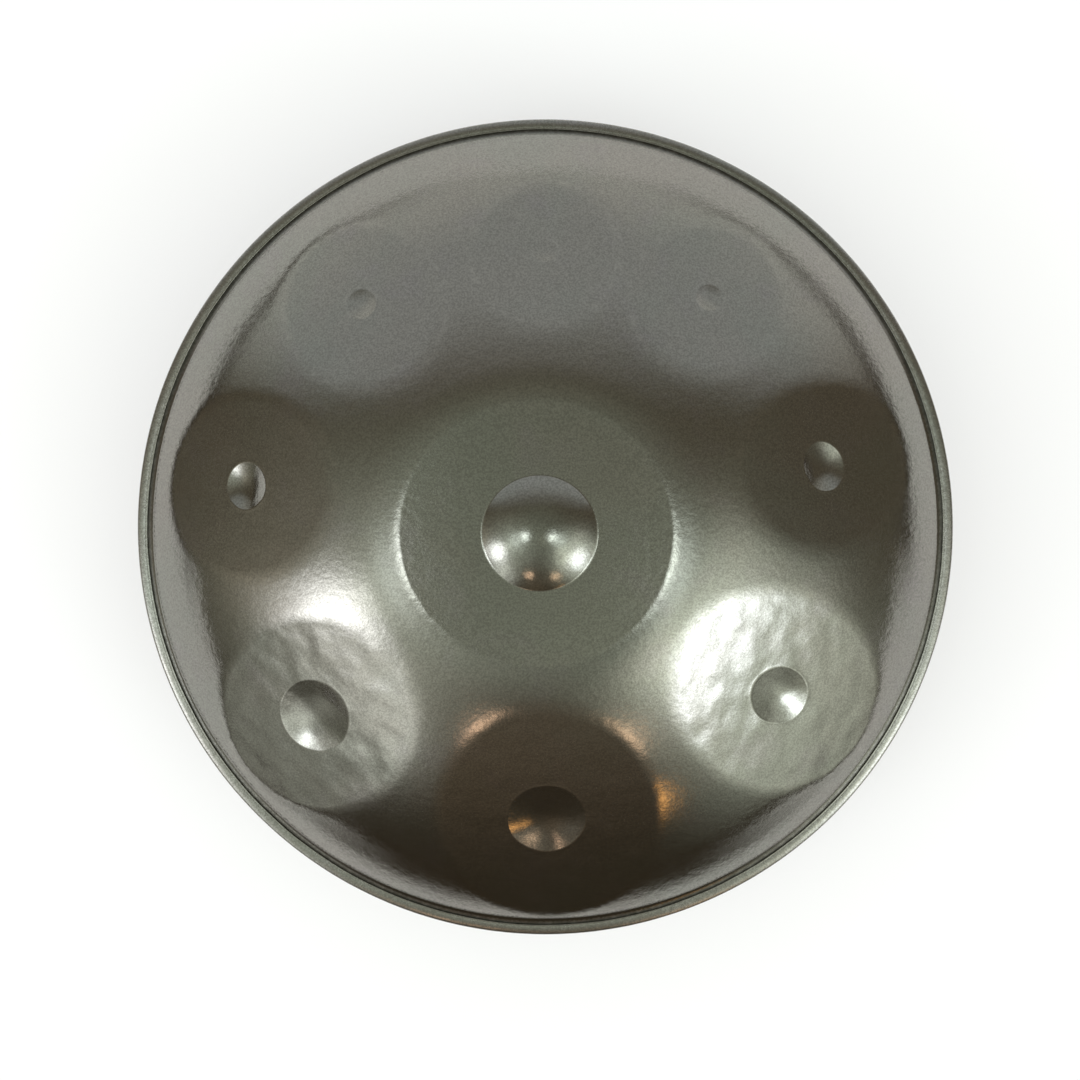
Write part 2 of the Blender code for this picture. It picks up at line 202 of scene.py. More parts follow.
class ToneField:
    """A flattened patch whose border lies on the shell, with a hollow at its middle."""

    def __init__(self, azimuth, distance, radial, cross, hollow_radial, hollow_cross,
                 hollow_out, hollow_side, flank, bottom, marks, lip):
        self.azimuth = radians(azimuth)
        self.distance, self.radial, self.cross = distance, radial, cross
        self.dimple, self.stretch = hollow_cross, hollow_radial / hollow_cross
        self.out, self.side = hollow_out, hollow_side
        self.marks, self.lip = marks, lip
        self.size = (radial + cross) / 2
        inner, outer = cap_height(distance - radial), cap_height(distance + radial)
        side = cap_height(hypot(distance, cross))
        self.level = side + FIELD_CROWN * cross * cross
        self.slope = (outer - inner) / (2 * radial)
        self.bend = ((inner + outer) / 2 - self.level) / radial ** 2
        self.tilt = cos(atan2(-self.slope, 1.0))
        self.fall, self.bottom = self.dimple * tan(radians(flank)), bottom
        self.seed = 17.3 * (azimuth + 200) / 40

    def local(self, x, y):
        """Distances outwards and sideways from the field's middle."""
        along, across = cos(self.azimuth), sin(self.azimuth)
        return x * along + y * across - self.distance, y * along - x * across

    def world(self, out, side):
        """Plan points from distances outwards and sideways."""
        along, across = cos(self.azimuth), sin(self.azimuth)
        out = out + self.distance
        return np.stack([out * along - side * across, out * across + side * along], 1)

    def share(self, x, y):
        """1 on the field's outline, 0 at its middle."""
        out, side = self.local(x, y)
        return np.hypot(out / self.radial, side / self.cross)

    def from_outline(self, x, y):
        return np.abs(self.share(x, y) - 1) * self.size

    def from_hollow(self, x, y):
        """Distance from the hollow's middle, even all round its outline."""
        out, side = self.local(x, y)
        out, side = (out - self.out) / self.stretch, side - self.side
        turn = np.arctan2(side, out)
        uneven = (1 + 0.012 * np.cos(2 * turn + self.seed)
                  + 0.006 * np.cos(5 * turn + 2 * self.seed))
        return np.hypot(out, side) * uneven

    def height(self, x, y):
        out, side = self.local(x, y)
        face = (self.level + self.slope * out + self.bend * out * out
                - FIELD_CROWN * side * side)
        # strokes of the planishing hammer run crosswise; they fade towards the border
        skew_out, skew_side = out + STROKE_SKEW * side, side - STROKE_SKEW * out
        depth = self.marks * (0.4 + 0.6 * smooth_step(1.0, 0.82, self.share(x, y)))
        face = face + depth * sum(
            weight * noise(skew_out / length + self.seed * shift_out,
                           skew_side / breadth + self.seed * shift_side)
            for noise, weight, length, breadth, shift_out, shift_side in HAMMER_LAYERS)
        return face + 0.08 * wobble(x, y, size=16.0, shift=(self.seed, 0.0))

    def hollow(self, x, y):
        """Depth of the hollow, less the small lip round it."""
        reach, bottom = self.from_hollow(x, y), self.bottom
        share = reach / self.dimple
        rounded = ((1 - bottom)
                   + 2 * bottom / pi * np.cos(pi * np.minimum(share, bottom) / (2 * bottom)))
        flank = self.fall * np.where(share < bottom, rounded, 1 - share) / self.tilt
        deep = smooth_max(flank, 0.0, DIMPLE_BLEND)
        return deep - self.lip * bell(reach - self.dimple - 0.7, width=0.9)

    def oval(self, share, spacing, turn):
        """Plan points round the field's outline, drawn at a share of its size."""
        count = max(8, int(round(2 * pi * self.size * share / spacing)))
        unit = circle(1.0, count=count, turn=turn)
        return self.world(unit[:, 0] * self.radial * share, unit[:, 1] * self.cross * share)

    def hollow_ring(self, radius, spacing, turn):
        unit = circle(radius, spacing, turn=turn)
        return self.world(self.out + unit[:, 0] * self.stretch, self.side + unit[:, 1])


FIELDS = [ToneField(*row) for row in TONE_FIELDS]


def ding_field_height(x, y, radius):
    return (cap_height(DING_FIELD_RADIUS)
            + DING_FIELD_CROWN * (1 - (radius / DING_FIELD_RADIUS) ** 2)
            - DING_FIELD_SAG * (np.minimum(x, 0.0) / DING_FIELD_RADIUS) ** 2
            + 0.016 * facets(x, y, size=15.0, shift=(9.0, 0.0))
            + 0.008 * facets(x, y, size=6.0, shift=(0.0, 5.0)))


def top_height(x, y):
    """World height of the upper shell's outer face."""
    radius = np.hypot(x, y)
    z = cap_height(radius)
    # the dome is a little uneven, but not close to the wall
    open_shell = smooth_step(262.0, 240.0, radius)
    z = z + open_shell * (0.05 * waves(x, y, size=46.0) + 0.012 * facets(x, y, size=17.0))
    z = press(z, ding_field_height(x, y, radius), DING_FIELD_BLEND, DING_FIELD_CRISP)
    hollow = np.zeros_like(radius)
    for field in FIELDS:
        near = field.share(x, y) < FIELD_REACH
        near_x, near_y = x[near], y[near]
        z[near] = press(z[near], field.height(near_x, near_y), FIELD_BLEND, FIELD_CRISP)
        hollow[near] += field.hollow(near_x, near_y)
    # the radius is held short of the sphere's, to keep the root real
    ding = sphere_cap(np.minimum(radius, 0.95 * DING_SPHERE), DING_SPHERE, DING_RADIUS)
    z = z + smooth_max(ding, 0.0, DING_FOOT)
    return TOP_FACE + smooth_max(z - hollow, 0.0, WALL_FILLET)


def top_normal(x, y, step=0.04):
    slope_x = (top_height(x + step, y) - top_height(x - step, y)) / (2 * step)
    slope_y = (top_height(x, y + step) - top_height(x, y - step)) / (2 * step)
    flat = np.hypot(x, y) > WALL_RADIUS + 4.0
    slope_x[flat] = slope_y[flat] = 0.0
    normal = np.stack([-slope_x, -slope_y, np.ones_like(slope_x)], 1)
    return normal / np.linalg.norm(normal, axis=1, keepdims=True)


# ---- plan points of the upper shell --------------------------------------------------

RIM_AROUND = 512       # points round the flange
OPEN_EDGE = 261.5      # where the rim's own rings take over
RIDGE = 4.6            # half width of the finer strip along each field's border

# offsets of the finer rings from the edges they follow
DING_RINGS = np.array((-2.6, -1.6, -1.0, -0.6, -0.3, 0.0, 0.3, 0.6, 1.0, 1.6, 2.6))
DING_FIELD_RINGS = np.arange(-6.9, 10.2, 1.05)
FIELD_RINGS = np.array((-4.2, -3.0, -2.0, -1.2, -0.6, 0.0, 0.6, 1.2, 2.0, 3.0, 4.2))
HOLLOW_RINGS = np.array((-2.2, -1.4, -0.8, -0.4, 0.0, 0.4, 0.8, 1.2, 1.7, 2.3))


def staggered(ring, sizes, **settings):
    """Rings of the given sizes, every second one turned by half a step."""
    return [ring(size, turn=0.5 * (i % 2), **settings) for i, size in enumerate(sizes)]


def inner_face_points():
    groups = [np.zeros((1, 2))] + staggered(circle, np.arange(7.0, 262.0, 6.0), spacing=6.5)
    groups += [circle(radius, count=256) for radius in (264.0, 268.5, 271.0, 274.0)]
    return np.concatenate(groups + [circle(FLANGE_RADIUS, count=RIM_AROUND)])


def open_face_points():
    """Even rings, left out wherever finer ones follow an edge."""
    rings = staggered(circle, np.arange(2.2, OPEN_EDGE, 2.2), spacing=2.5)
    points = np.concatenate([np.zeros((1, 2))] + rings)
    x, y = points.T
    radius = np.hypot(x, y)
    keep = np.abs(radius - DING_RADIUS) > 3.4
    keep &= np.abs(radius - DING_FIELD_RADIUS - 1.5) > 9.1
    for field in FIELDS:
        keep &= field.from_outline(x, y) > RIDGE + 0.6
        keep &= np.abs(field.from_hollow(x, y) - field.dimple) > 2.9
    return points[keep]


def outline_points(field, earlier):
    """Rings along a field's border, clear of the earlier fields' and of the ding field's."""
    points = np.concatenate(staggered(field.oval, 1 + FIELD_RINGS / field.size, spacing=2.1))
    x, y = points.T
    radius = np.hypot(x, y)
    keep = (radius < OPEN_EDGE) & (radius > DING_FIELD_RADIUS + 10.6)
    for other in earlier:
        keep &= other.from_outline(x, y) > RIDGE + 0.4
    return points[keep]


def outer_face_points():
    groups = [open_face_points()]
    groups += staggered(circle, DING_RADIUS + DING_RINGS, spacing=1.25)
    groups += staggered(circle, DING_FIELD_RADIUS + DING_FIELD_RINGS, spacing=1.9)
    for index, field in enumerate(FIELDS):
        groups.append(outline_points(field, FIELDS[:index]))
        groups += staggered(field.hollow_ring, field.dimple + HOLLOW_RINGS, spacing=1.3)
    groups += staggered(circle, np.arange(262.6, 273.2, 0.8), count=RIM_AROUND)
    groups.append(circle(275.2, count=RIM_AROUND, turn=0.5))
    groups.append(circle(FLANGE_RADIUS, count=RIM_AROUND))
    return np.concatenate(groups)


def plan_triangles(points):
    flat, _, faces, *_ = delaunay_2d_cdt([Vector(p) for p in points], [], [], 0, 1e-7)
    return np.array([tuple(p) for p in flat]), np.array([tuple(f) for f in faces], int)


# ---- meshes --------------------------------------------------------------------------

def add_object(name, data):
    obj = bpy.data.objects.new(name, data)
    bpy.context.scene.collection.objects.link(obj)
    return obj


def make_mesh(name, verts, faces, normals=None, attributes=None):
    """A smooth mesh, given in millimetres, with values stored on its points."""
    mesh = bpy.data.meshes.new(name)
    mesh.from_pydata((verts * MM).tolist(), [], [list(map(int, f)) for f in faces])
    for key, values in (attributes or {}).items():
        layer = mesh.attributes.new(key, "FLOAT", "POINT")
        layer.data.foreach_set("value", np.asarray(values, np.float32))
    mesh.shade_smooth()
    if normals is not None:
        mesh.normals_split_custom_set_from_vertices([tuple(n) for n in normals])
    return add_object(name, mesh)


def flange_edge(plan, start):
    """Vertex numbers round the flange's edge; start is the number of the first point."""
    at = np.flatnonzero(np.hypot(plan[:, 0], plan[:, 1]) > FLANGE_RADIUS - 0.2)
    order = np.argsort(np.arctan2(plan[at, 1], plan[at, 0]))
    return [int(start + i) for i in at[order]]


def upper_attributes(x, y):
    """Where the steel is a tone field, where edges are rubbed and where shade is painted into the
    seam crevice.
    """
    radius = np.hypot(x, y)
    tone, wear = np.zeros(len(x)), np.zeros(len(x))
    for field in FIELDS:
        share = field.share(x, y)
        rim = field.from_hollow(x, y) - field.dimple
        tone = np.maximum(tone, smooth_step(1.02, 0.97, share))
        wear = np.maximum(wear, bell((share - 1.01) * field.size, width=2.5))
        wear = np.maximum(wear, bell(rim - 0.6, width=1.1))
    wear = np.maximum(wear, bell(radius - DING_RADIUS, width=0.9))
    wear = np.maximum(wear, 0.8 * bell(radius - DING_FIELD_RADIUS, width=4.5))
    return {"tone_field": tone, "edge_wear": wear,
            # mask for the painted shade in the seam crevice
            "crevice": smooth_step(268.4, 270.3, radius)}


def build_upper_shell():
    plan, faces = plan_triangles(outer_face_points())
    x, y = plan.T.copy()
    outer = np.stack([x, y, top_height(x, y)], 1)
    outer_normals = top_normal(x, y)

    inner_plan, inner_faces = plan_triangles(inner_face_points())
    x, y = inner_plan.T.copy()
    inner_normals = top_normal(x, y, step=0.4)
    inner = np.stack([x, y, top_height(x, y)], 1) - SHEET * inner_normals

    start = len(outer)
    faces = [tuple(f) for f in faces]
    faces += [tuple(start + i for i in reversed(f)) for f in inner_faces]
    # the flange's cut edge joins the two faces
    upper, lower = flange_edge(plan, 0), flange_edge(inner_plan, start)
    count = len(upper)
    for i in range(count):
        j = (i + 1) % count
        faces.append((upper[i], lower[i], lower[j], upper[j]))

    verts = np.concatenate([outer, inner])
    return make_mesh("top_shell_drawn", verts, faces,
                     np.concatenate([outer_normals, -inner_normals]),
                     upper_attributes(verts[:, 0], verts[:, 1]))


# ---- turned pieces -------------------------------------------------------------------

def arc(middle, z, radius, start, end, steps):
    """Points of an arc in the profile plane; angles in degrees from outwards to up."""
    angles = [radians(start + (end - start) * i / steps) for i in range(steps + 1)]
    return [(middle + radius * cos(a), z + radius * sin(a)) for a in angles]


def turn_profile(name, profile, around, shift, attributes=None):
    """Turn a closed profile, drawn anticlockwise in (radius, height), round the axis.

    shift gives the outward and upward unevenness from angle, radius and height.
    """
    count = len(profile)
    angle = (2 * pi * np.arange(around) / around)[:, None]
    radius, z = (np.tile(profile[:, i], (around, 1)) for i in (0, 1))
    outward, upward = shift(angle, radius, z)
    radius, z = radius + outward, z + upward
    verts = np.stack([radius * np.cos(angle), radius * np.sin(angle), z], 2).reshape(-1, 3)
    faces = []
    for i in range(around):
        here, there = i * count, (i + 1) % around * count
        for k in range(count):
            m = (k + 1) % count
            faces.append((here + k, there + k, there + m, here + m))
    tiled = {key: np.tile(values, around) for key, values in (attributes or {}).items()}
    return make_mesh(name, verts, faces, attributes=tiled)


def lower_face(radius):
    """Height of the lower shell's outer face."""
    if radius >= SETTLE_EDGE:
        z = BOTTOM_FACE - float(smooth_max(cap_height(radius), 0.0, WALL_FILLET))
    else:
        # the bowl settles into the flat land that the pan stands on
        level = BOTTOM_FACE - float(cap_height(SETTLE_EDGE))
        slope = SETTLE_EDGE / sqrt(SHELL_SPHERE ** 2 - SETTLE_EDGE ** 2)
        t = max(0.0, (radius - LAND_OUTER) / SETTLE)
        z = level * (3 * t * t - 2 * t ** 3) + slope * SETTLE * (t ** 3 - t * t)
    return max(z, 0.0)


def lower_profile():
    """The underside inwards and up the neck, then back along the inner face."""
    radii = [FLANGE_RADIUS, 275.0, 272.5, *np.arange(271.5, 262.0, -0.8),
             *np.arange(259.0, SETTLE_EDGE + 2, -5.0),
             *np.arange(SETTLE_EDGE, LAND_OUTER, -1.75)]
    outer = [(float(radius), lower_face(float(radius))) for radius in radii]
    outer += [(LAND_OUTER, 0.0), (LAND_MIDDLE, 0.0), (LAND_INNER, 0.0)]
    bend = LAND_INNER - PORT_NECK_RADIUS
    outer += arc(LAND_INNER, bend, bend, -90, -180, 12)[1:]
    neck_end = PORT_NECK_HEIGHT - SHEET / 2
    outer += [(PORT_NECK_RADIUS, z) for z in (14.0, 20.0, 26.0, 30.0, neck_end)]
    points = np.array(outer)
    along = np.gradient(points, axis=0)
    side = np.stack([-along[:, 1], along[:, 0]], 1)
    side /= np.linalg.norm(side, axis=1, keepdims=True)
    inner = points - SHEET * side
    neck_top = arc(PORT_NECK_RADIUS + SHEET / 2, neck_end, SHEET / 2, 180, 0, 6)[1:-1]
    loop = outer + neck_top + [tuple(point) for point in inner[::-1]]
    return np.array(loop[::-1])


def build_lower_shell():
    profile = lower_profile()

    def shift(angle, radius, z):
        depth = smooth_step(76.0, 110.0, radius) * smooth_step(266.0, 250.0, radius)
        x, y = radius * np.cos(angle), radius * np.sin(angle)
        return 0.0, depth * (0.07 * waves(x, y, size=52.0, shift=(20.0, 0.0))
                             + 0.02 * facets(x, y, size=20.0, shift=(0.0, 11.0)))

    radius = profile[:, 0]
    return turn_profile("bottom_shell_drawn", profile, 288, shift, {
        # mask for the painted shade in the seam crevice
        "crevice": smooth_step(268.3, 269.9, radius),
        # only the land is rubbed, not the steel above it
        "edge_wear": bell(radius - LAND_MIDDLE, width=4.0) * (profile[:, 1] < 3.0),
        "tone_field": 0 * radius})


def band_outside():
    """Upper half of the band's outer face, outwards, with heights from the seam."""
    lip, crown = BAND_LIP_RADIUS, BAND_HALF - 0.03
    points = arc(lip + BAND_LIP_ROLL, crown - BAND_LIP_ROLL, BAND_LIP_ROLL, 180, 75, 8)
    # a shallow groove behind the rolled lip
    points += [(lip + 0.80, crown - 0.08), (lip + 1.05, crown - 0.13), (lip + 1.35, crown - 0.13)]
    # a convex leg that falls away outwards
    leg_start = lip + 1.7
    for i in range(9):
        t = i / 8
        points.append((leg_start + (BAND_LEG_END - leg_start) * t,
                       crown - 0.10 - 0.10 * t - 0.80 * t * t))
    # and turns over into the back
    end_radius, end_z = points[-1]
    start = radians(BAND_TURN)
    for i in range(1, 13):
        angle = radians(BAND_TURN * (1 - i / 12))
        out = (cos(angle) - cos(start)) / (1 - cos(start))
        points.append((end_radius + (BAND_RADIUS - end_radius) * out,
                       end_z - 1.70 * (1 - sin(angle) / sin(start))))
    return points + [(BAND_RADIUS, 0.2)]


def band_profile():
    outside = band_outside()
    lip, back = BAND_LIP_RADIUS, BAND_RADIUS - BAND_SHEET
    inside = [(lip + BAND_LIP_ROLL, 2.37), (lip + 2.5, 2.25), (lip + 4.3, 2.13),
              (back - 1.0, 1.96), (back - 0.35, 1.45), (back - 0.06, 0.75), (back, 0.1)]
    loop = outside + [(radius, -z) for radius, z in reversed(outside)]
    loop += [(radius, -z) for radius, z in inside] + inside[::-1]
    return np.array([(radius, SEAM_HEIGHT + z) for radius, z in reversed(loop)])


def build_rim_band():
    profile = band_profile()

    def shift(angle, radius, z):
        # hand-closed all round, so the legs wander a little; never beyond the band's radius
        inward = smooth_step(BAND_RADIUS - 0.2, BAND_LIP_RADIUS, radius)
        x, y = np.cos(angle) * 9.0, np.sin(angle) * 9.0
        wander = wobble(x * 1.3 + 40, y * 1.3)
        fine = wobble(x * 5.0 + 12, y * 5.0)
        outward = ((-0.05 - 0.10 * np.abs(wander)) * (1 - inward)
                   + inward * (0.22 * wander + 0.06 * fine))
        return outward, -0.03 * np.sign(z - SEAM_HEIGHT) * (1 + fine)

    radius = profile[:, 0]
    wear = bell(radius - BAND_LIP_RADIUS, width=0.5) + bell(radius - BAND_RADIUS, width=0.7)
    return turn_profile("rim_band_folded", profile, 512, shift,
                        {"edge_wear": np.clip(wear, 0, 1)})


def build_adhesive():
    loop = arc(BEAD_INNER, 0.0, BEAD_HALF * 0.95, 90, 270, 8)
    loop += arc(BEAD_OUTER, 0.0, BEAD_HALF, -90, 90, 6)
    profile = np.array([(radius, SEAM_HEIGHT + z) for radius, z in loop])

    def shift(angle, radius, z):
        squeeze = smooth_step(272.5, 270.6, radius)
        uneven = wobble(np.cos(angle) * 40, np.sin(angle) * 40, shift=(3.0, 0.0))
        return -squeeze * (0.12 + 0.3 * uneven), 0.0

    return turn_profile("rim_adhesive_bead", profile, 360, shift)


# ---- materials -----------------------------------------------------------------------

class Tree:
    """Short names for the shader nodes used here."""

    def __init__(self, tree):
        self.tree = tree

    def feed(self, socket, value):
        """Link a socket, or set a plain value; colours gain an alpha of 1."""
        if isinstance(value, bpy.types.NodeSocket):
            self.tree.links.new(value, socket)
        elif isinstance(value, tuple) and len(value) == 3 and len(socket.default_value) == 4:
            socket.default_value = (*value, 1.0)
        else:
            socket.default_value = value

    def node(self, kind, inputs=None, **settings):
        """A new node; inputs maps socket names or numbers to values."""
        node = self.tree.nodes.new(kind)
        for key, value in settings.items():
            setattr(node, key, value)
        for key, value in (inputs or {}).items():
            self.feed(node.inputs[key], value)
        return node

    def output(self, kind, inputs=None, output=0, **settings):
        """One output of a new node."""
        return self.node(kind, inputs, **settings).outputs[output]

    def math(self, operation, *values):
        return self.output("ShaderNodeMath", dict(enumerate(values)), operation=operation)

    def step(self, value, over, to=(0.0, 1.0)):
        """Ease between the two values of to, as value runs over a range."""
        return self.output("ShaderNodeMapRange", {
            "Value": value, "From Min": over[0], "From Max": over[1],
            "To Min": to[0], "To Max": to[1]}, "Result", interpolation_type="SMOOTHSTEP")

    def mix(self, factor, first, second):
        return self.output("ShaderNodeMix", {"Factor": factor, 6: first, 7: second}, 2,
                           data_type="RGBA", blend_type="MIX")

    def mix_shader(self, factor, first, second):
        return self.output("ShaderNodeMixShader", {0: factor, 1: first, 2: second})

    def noise(self, vector, scale, detail=3.0, roughness=0.55, distortion=0.0):
        return self.output("ShaderNodeTexNoise", {
            "Vector": vector, "Scale": scale, "Detail": detail, "Roughness": roughness,
            "Distortion": distortion})

    def mapping(self, vector, **settings):
        return self.output("ShaderNodeMapping", {"Vector": vector, **settings})

    def attribute(self, name):
        return self.output("ShaderNodeAttribute", output="Fac", attribute_name=name)

    def bump(self, height, strength, distance, **below):
        """A bump, laid over another when Normal is given."""
        return self.output("ShaderNodeBump", {
            "Strength": strength, "Distance": distance, "Height": height, **below})


def new_material(name):
    material = bpy.data.materials.new(name)
    material.use_nodes = True
    return material, Tree(material.node_tree)


def finish_surface(tree, **inputs):
    shader = tree.tree.nodes["Principled BSDF"]
    for key, value in inputs.items():
        tree.feed(shader.inputs[key.replace("_", " ")], value)


def shade(colour, factor):
    return tuple(factor * c for c in colour)


def steel(name, green, warm, violet, roughness, seed, grain=1.0, shell=True):
    """Heat-nitrided steel: a satin skin whose tone drifts between greenish grey, warm
    grey and a trace of violet, with fine grain, faint rub marks and, on a shell,
    shade painted dark into the seam crevice."""
    material, tree = new_material(name)
    where = tree.output("ShaderNodeTexCoord", output="Object")
    at = tree.mapping(where, Location=(seed, 2.3 * seed, -seed))

    drift = tree.noise(at, scale=7.0, detail=4.0, roughness=0.6, distortion=0.4)
    cloud = tree.noise(at, scale=26.0, detail=5.0, roughness=0.62, distortion=0.2)
    speck = tree.noise(at, scale=420.0, roughness=0.6)
    pits = tree.noise(at, scale=820.0, detail=2.0, roughness=0.6)
    rub = tree.noise(at, scale=160.0, detail=4.0, roughness=0.7)
    worn = tree.math("MULTIPLY", tree.attribute("edge_wear"),
                     tree.step(rub, over=(0.42, 0.66)))

    # drifting tones, darker specks and pits, brighter worn edges
    colour = tree.mix(tree.step(drift, over=(0.36, 0.64)), green, warm)
    colour = tree.mix(tree.step(cloud, over=(0.52, 0.72), to=(0.0, 0.55)), colour, violet)
    colour = tree.mix(tree.step(speck, over=(0.30, 0.72), to=(0.0, 0.16)), colour,
                      shade(green, 0.62))
    colour = tree.mix(tree.step(pits, over=(0.36, 0.66), to=(0.0, 0.55)), colour,
                      shade(warm, 0.50))
    colour = tree.mix(tree.math("MULTIPLY", worn, 0.30), colour, shade(warm, 1.28))

    # clouds and specks vary the gloss, and worn edges are smoother
    rough = tree.math("ADD", roughness, tree.step(cloud, over=(0.3, 0.7), to=(-0.022, 0.028)))
    rough = tree.math("ADD", rough, tree.step(speck, over=(0.35, 0.70), to=(-0.012, 0.018)))
    rough = tree.math("SUBTRACT", rough, tree.math("MULTIPLY", worn, 0.04))
    if shell:
        # tone fields are a trace duller; shade is painted dark into the seam crevice, which is
        # also made duller
        tone = tree.attribute("tone_field")
        rough = tree.math("ADD", rough, tree.math("MULTIPLY", tone, 0.012))
        seam = tree.attribute("crevice")
        painted_crevice_shade = tree.math("MULTIPLY", seam, tree.step(rub, over=(0.25, 0.6), to=(0.45, 0.78)))
        # painted shade: the crevice's colour is pulled towards near-black
        colour = tree.mix(painted_crevice_shade, colour, (0.030, 0.027, 0.022))
        rough = tree.math("ADD", rough, tree.math("MULTIPLY", seam, 0.25))

    # a soft orange peel, rub marks across it, pits and the fine grain of the skin
    streak = tree.mapping(at, Scale=(1.0, 5.0, 1.0), Rotation=(0.0, 0.0, radians(24)))
    peel = tree.noise(at, scale=210.0, detail=2.0, roughness=0.5)
    rubs = tree.noise(streak, scale=90.0, detail=4.0, roughness=0.65)
    skin = tree.noise(at, scale=1500.0, detail=2.0, roughness=0.6)
    normal = tree.bump(peel, strength=0.13 * grain, distance=0.0006)
    normal = tree.bump(rubs, strength=0.025 * grain, distance=0.0006, Normal=normal)
    normal = tree.bump(pits, strength=0.15 * grain, distance=0.00012, Normal=normal)
    normal = tree.bump(skin, strength=0.08 * grain, distance=0.00016, Normal=normal)
    finish_surface(tree, Base_Color=colour, Roughness=rough, Metallic=1.0, Normal=normal)
    return material


def adhesive_material():
    material, tree = new_material("cured_seam_adhesive")
    at = tree.output("ShaderNodeTexCoord", output="Object")
    blotch = tree.noise(at, scale=60.0, detail=5.0, roughness=0.6)
    colour = tree.mix(tree.step(blotch, over=(0.35, 0.65)),
                      (0.030, 0.029, 0.027), (0.055, 0.052, 0.047))
    finish_surface(tree, Base_Color=colour,
                   Roughness=tree.step(blotch, over=(0.3, 0.7), to=(0.45, 0.68)),
                   Normal=tree.bump(tree.noise(at, scale=500.0), strength=0.35,
                                    distance=0.0004))
    return material


# ---- pieces --------------------------------------------------------------------------

steel_top = steel("nitrided_steel_upper", green=(0.267, 0.269, 0.234),
                  warm=(0.280, 0.267, 0.235), violet=(0.276, 0.258, 0.245),
                  roughness=0.115, seed=3.1)
steel_bottom = steel("nitrided_steel_lower", green=(0.208, 0.208, 0.182),
                     warm=(0.220, 0.208, 0.182), violet=(0.214, 0.200, 0.190),
                     roughness=0.25, seed=7.7, grain=1.3)
steel_band = steel("folded_band_steel", green=(0.292, 0.294, 0.262),
                   warm=(0.300, 0.288, 0.258), violet=(0.294, 0.280, 0.268),
                   roughness=0.25, seed=12.4, grain=1.4, shell=False)

for obj, node, material, slot in (
        (build_upper_shell(), "top_shell", steel_top, "nitrided_steel_top"),
        (build_lower_shell(), "bottom_shell", steel_bottom, "nitrided_steel_bottom"),
        (build_rim_band(), "rim_band", steel_band, "rim_band_steel"),
        (build_adhesive(), "rim_adhesive", adhesive_material(), "seam_adhesive")):
    obj.data.materials.append(material)
    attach(obj, "root")
    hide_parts(node)


# ---- stage: pale floor, soft light, camera; metres -----------------------------------

FLOOR_HALF, FLOOR_HEIGHT = 9.0, -0.0004
PAPER = (0.80, 0.80, 0.80)
GLOWING_PAPER = (0.912, 0.912, 0.912)
MIRRORED_PAPER = (0.765, 0.755, 0.785)
MIRRORED_ROOM = (0.085, 0.066, 0.043)

CAMERA_RAY_SKY = (0.93, 0.93, 0.93)
CEILING = (0.356, 0.371, 0.306)
CEILING_EDGE = (2.0, 50.0)           # degrees from straight up
ROOM_LOW_EDGE = (60.0, 85.0)         # degrees from straight up
ROOM_BEHIND = (0.213, 0.182, 0.134)
ROOM_SIDES = (0.050, 0.030, 0.020)
ROOM_SIDES_LOW = (0.200, 0.190, 0.145)
ROOM_FRONT = (0.128, 0.094, 0.062)
ROOM_FRONT_LOW = (0.085, 0.068, 0.045)
BACKDROP = (0.690, 0.722, 0.742)
BACKDROP_FOOT = (0.930, 0.945, 0.930)
BACKDROP_FOOT_EDGE = (68.0, 90.0)    # degrees from straight up
BACKDROP_TOP = (25.0, 59.0)          # degrees back from straight up
BACKDROP_SIDES = (0.94, 2.86)        # sideways over backwards
# soft lights: distance from straight up and azimuth in degrees, softness in degrees,
# radiance
SOFT_LIGHTS = (
    (56.0, -155.0, 8.2, (5.8, 6.0, 6.6)),
    (49.5, -157.0, 5.5, (1.3, 1.35, 1.4)),
    (68.0, -160.5, 7.0, (0.70, 0.70, 0.75)),
    (42.3, -152.4, 26.0, (0.89, 0.98, 0.89)),
    (64.0, -134.0, 11.0, (1.42, 1.48, 1.48)),
    (74.0, -153.0, 17.0, (0.10, 0.105, 0.10)),
    (85.0, -140.0, 9.0, (0.40, 0.41, 0.39)),
    (70.0, -171.0, 13.0, (0.36, 0.32, 0.27)),
    (54.5, -36.8, 8.5, (4.2, 4.4, 5.2)),
    (50.0, -29.5, 5.0, (1.0, 1.05, 1.05)),
    (48.6, -34.5, 21.1, (2.0, 2.2, 1.97)),
    (78.5, -39.5, 15.6, (0.92, 0.98, 0.90)),
    (67.0, -17.0, 7.0, (0.35, 0.35, 0.33)),
    (44.5, -10.0, 8.0, (0.25, 0.25, 0.24)),
    (30.0, -43.0, 6.0, (0.48, 0.50, 0.45)),
    (18.5, 194.5, 4.2, (4.2, 4.6, 4.75)),
    (14.5, -23.5, 4.3, (4.1, 4.5, 4.55)),
    (30.0, 199.0, 7.5, (1.15, 1.28, 1.32)),
    (24.0, -22.0, 7.5, (1.2, 1.35, 1.38)),
    (42.0, -158.0, 6.0, (0.45, 0.50, 0.45)),
    (42.0, -47.0, 8.5, (0.70, 0.72, 0.64)),
    (58.0, -90.0, 12.0, (0.05, 0.04, 0.03)),
    (9.0, -60.0, 6.0, (0.15, 0.15, 0.12)),
    (66.0, -101.0, 10.0, (0.07, 0.052, 0.035)),
    (50.8, -105.5, 3.5, (3.1, 2.05, 1.45)),
    (53.8, -71.5, 4.0, (2.5, 1.7, 1.15)),
    (72.0, -69.5, 3.3, (2.9, 1.4, 0.40)),
)
DEGREES = 180 / pi

CAMERA_PLACE = Vector((0.0337, 0.0364, SEAM_HEIGHT * MM + 1.5))
CAMERA_TARGET = Vector((-0.0024, -0.0075, SEAM_HEIGHT * MM))


